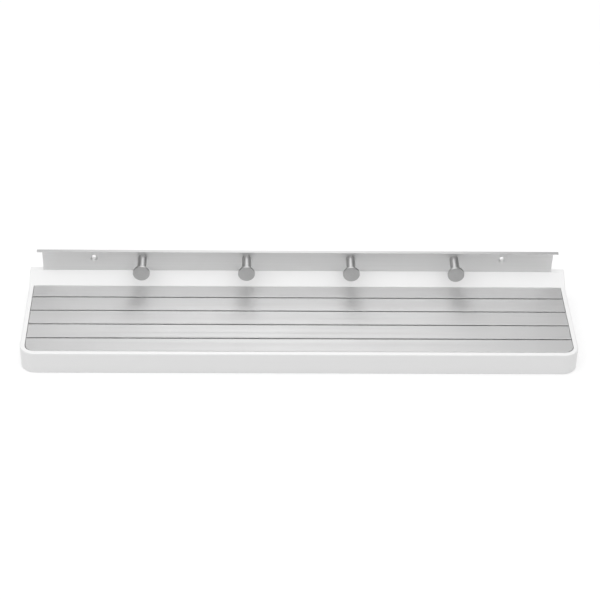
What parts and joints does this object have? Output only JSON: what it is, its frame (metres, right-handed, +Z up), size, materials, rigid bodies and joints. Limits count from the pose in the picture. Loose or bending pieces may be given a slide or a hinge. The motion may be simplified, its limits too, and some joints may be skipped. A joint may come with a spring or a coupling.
{
  "type": "wall shelf with hook rail",
  "caption": "White wall shelf with a deck of brushed metal slats and a metal hook rail with round pegs along its back.",
  "frame": {"origin": "on the wall plane (the rear face), midway between the two wall screw holes and at their height", "axes": "+X to the right along the shelf as seen from the room, +Y into the wall, +Z up"},
  "size_m": [0.6, 0.1434, 0.062],
  "materials": {
    "white_plastic": "white satin moulding",
    "cover_plastic": "white fine-grained sheet",
    "brushed_aluminium": "brushed lengthwise, clear anodised",
    "rail_aluminium": "satin anodised",
    "bearer_aluminium": "plain mill finish",
    "peg_metal": "turned and satin polished",
    "screw_steel": "plain stainless"
  },
  "bodies": {
    "root": {"shelf_body": "white_plastic", "deck_slat_1": "brushed_aluminium", "deck_slat_2": "brushed_aluminium", "deck_slat_3": "brushed_aluminium", "deck_slat_4": "brushed_aluminium", "deck_slat_5": "brushed_aluminium", "deck_bearer_left": "bearer_aluminium", "deck_bearer_middle": "bearer_aluminium", "deck_bearer_right": "bearer_aluminium", "slat_screws": "screw_steel", "bearer_screws": "screw_steel", "underside_cover": "cover_plastic", "cover_screws": "screw_steel", "hook_rail": "rail_aluminium", "peg_1": "peg_metal", "peg_2": "peg_metal", "peg_3": "peg_metal", "peg_4": "peg_metal", "peg_screws": "screw_steel"}
  },
  "joints": []
}
